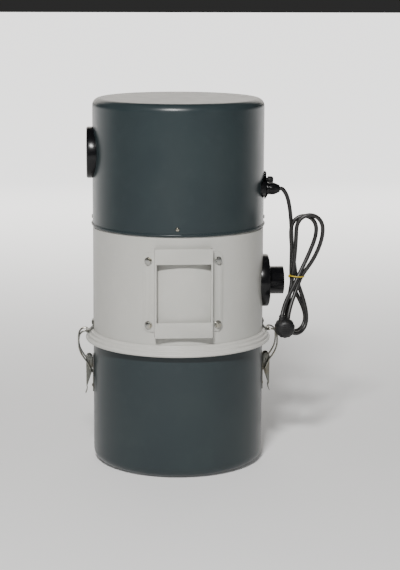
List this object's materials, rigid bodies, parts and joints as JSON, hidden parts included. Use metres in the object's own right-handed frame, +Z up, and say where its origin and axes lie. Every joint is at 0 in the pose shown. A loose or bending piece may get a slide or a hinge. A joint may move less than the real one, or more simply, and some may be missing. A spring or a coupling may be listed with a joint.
{
  "type": "dust collector",
  "caption": "Wall-hung cylindrical dust collector with a clip-on bin, filter drum, motor head, side inlet, exhaust socket and bundled mains cord.",
  "frame": {"origin": "centre of the bin's underside", "axes": "+Z up the drum, the wall hanger faces -Y, the exhaust socket faces -X, the inlet stub and the mains cord face +X"},
  "size_m": [0.4464, 0.338, 0.664],
  "materials": {
    "dark_enamel": "semi-gloss",
    "grey_enamel": "satin",
    "collar_enamel": "satin",
    "zinc_plate": "bright zinc plate",
    "latch_wire": "bright drawn wire",
    "galvanised": "plain galvanised",
    "black_plastic": "moulded satin",
    "button_plastic": "moulded satin",
    "black_screw": "blackened",
    "gasket_rubber": "matte",
    "foam": "open-cell foam",
    "filter_fabric": "needle felt",
    "cast_impeller": "plain",
    "ground_steel": "ground",
    "lamination": "stacked laminations",
    "copper": "enamelled copper",
    "brush_brass": "plain",
    "carbon": "carbon",
    "cord_pvc": "soft satin",
    "yellow_tie": "plain"
  },
  "bodies": {
    "bin": {"bin_shell": "dark_enamel", "latch_base_left": "zinc_plate", "latch_base_right": "zinc_plate", "latch_rivets": "zinc_plate", "lever_pin_left": "zinc_plate", "lever_pin_right": "zinc_plate"},
    "housing": {"filter_housing": "grey_enamel", "collar_ring": "collar_enamel", "bin_gasket": "gasket_rubber", "catch_hook_left": "zinc_plate", "catch_hook_right": "zinc_plate", "hook_rivets": "zinc_plate", "hanger_frame": "grey_enamel", "hanger_screws": "zinc_plate", "hanger_nuts": "zinc_plate", "inlet_port": "black_plastic", "inlet_screws": "black_screw", "inlet_deflector": "galvanised", "motor_plate": "galvanised", "motor_gasket": "gasket_rubber", "fan_housing": "galvanised", "motor_bolts": "zinc_plate", "motor_bearings": "ground_steel", "motor_frame": "galvanised", "field_stator": "lamination", "field_coils": "copper", "brush_holders": "brush_brass", "carbon_brushes": "carbon", "end_bracket": "galvanised", "foam_liner": "foam", "motor_cover": "dark_enamel", "cover_screws": "zinc_plate", "exhaust_port": "black_plastic", "exhaust_screws": "black_screw", "terminal_plate": "black_plastic", "plate_screws": "zinc_plate", "cord_gland": "black_plastic", "gland_nut": "black_plastic", "breaker_body": "black_plastic", "breaker_nut": "black_plastic", "cord_lead": "cord_pvc", "cord_hank": "cord_pvc", "cord_tail": "cord_pvc", "cord_tie": "yellow_tie", "mains_plug": "black_plastic"},
    "lever_left": {"latch_lever_left": "zinc_plate"},
    "lever_right": {"latch_lever_right": "zinc_plate"},
    "bail_left": {"latch_bail_left": "latch_wire"},
    "bail_right": {"latch_bail_right": "latch_wire"},
    "rotor": {"impeller": "cast_impeller", "motor_shaft": "ground_steel", "armature": "lamination", "commutator": "copper", "cooling_fan": "black_plastic"},
    "button": {"breaker_button": "button_plastic"},
    "filter": {"filter_ring": "galvanised", "filter_cage": "galvanised", "filter_cloth": "filter_fabric"}
  },
  "joints": [
    {"name": "housing_lift", "type": "slide", "parent": "bin", "child": "housing", "axis": [0, 0, 1], "range_m": [0, 0.25]},
    {"name": "latch_lever_left", "type": "hinge", "parent": "bin", "child": "lever_left", "pos_m": [-0.163, 0, 0.187], "axis": [0, 1, 0], "range_deg": [0, 75]},
    {"name": "latch_lever_right", "type": "hinge", "parent": "bin", "child": "lever_right", "pos_m": [0.163, 0, 0.187], "axis": [0, -1, 0], "range_deg": [0, 75]},
    {"name": "latch_bail_left", "type": "hinge", "parent": "lever_left", "child": "bail_left", "pos_m": [-0.16, 0, 0.165], "axis": [0, 1, 0], "range_deg": [-53.23, 0]},
    {"name": "latch_bail_right", "type": "hinge", "parent": "lever_right", "child": "bail_right", "pos_m": [0.16, 0, 0.165], "axis": [0, -1, 0], "range_deg": [-53.23, 0]},
    {"name": "rotor_spin", "type": "hinge", "parent": "housing", "child": "rotor", "pos_m": [0, 0, 0.5], "axis": [0, 0, 1], "continuous": true},
    {"name": "breaker_button", "type": "slide", "parent": "housing", "child": "button", "axis": [-1, 0, 0], "range_m": [0, 0.003], "stiffness_N_per_m": 800},
    {"name": "filter_drop", "type": "slide", "parent": "housing", "child": "filter", "axis": [0, 0, 1], "range_m": [-0.15, 0]}
  ],
  "couplings": [
    {"joint": "latch_bail_left", "follows": "latch_lever_left", "ratio": -0.703},
    {"joint": "latch_bail_right", "follows": "latch_lever_right", "ratio": -0.703}
  ]
}
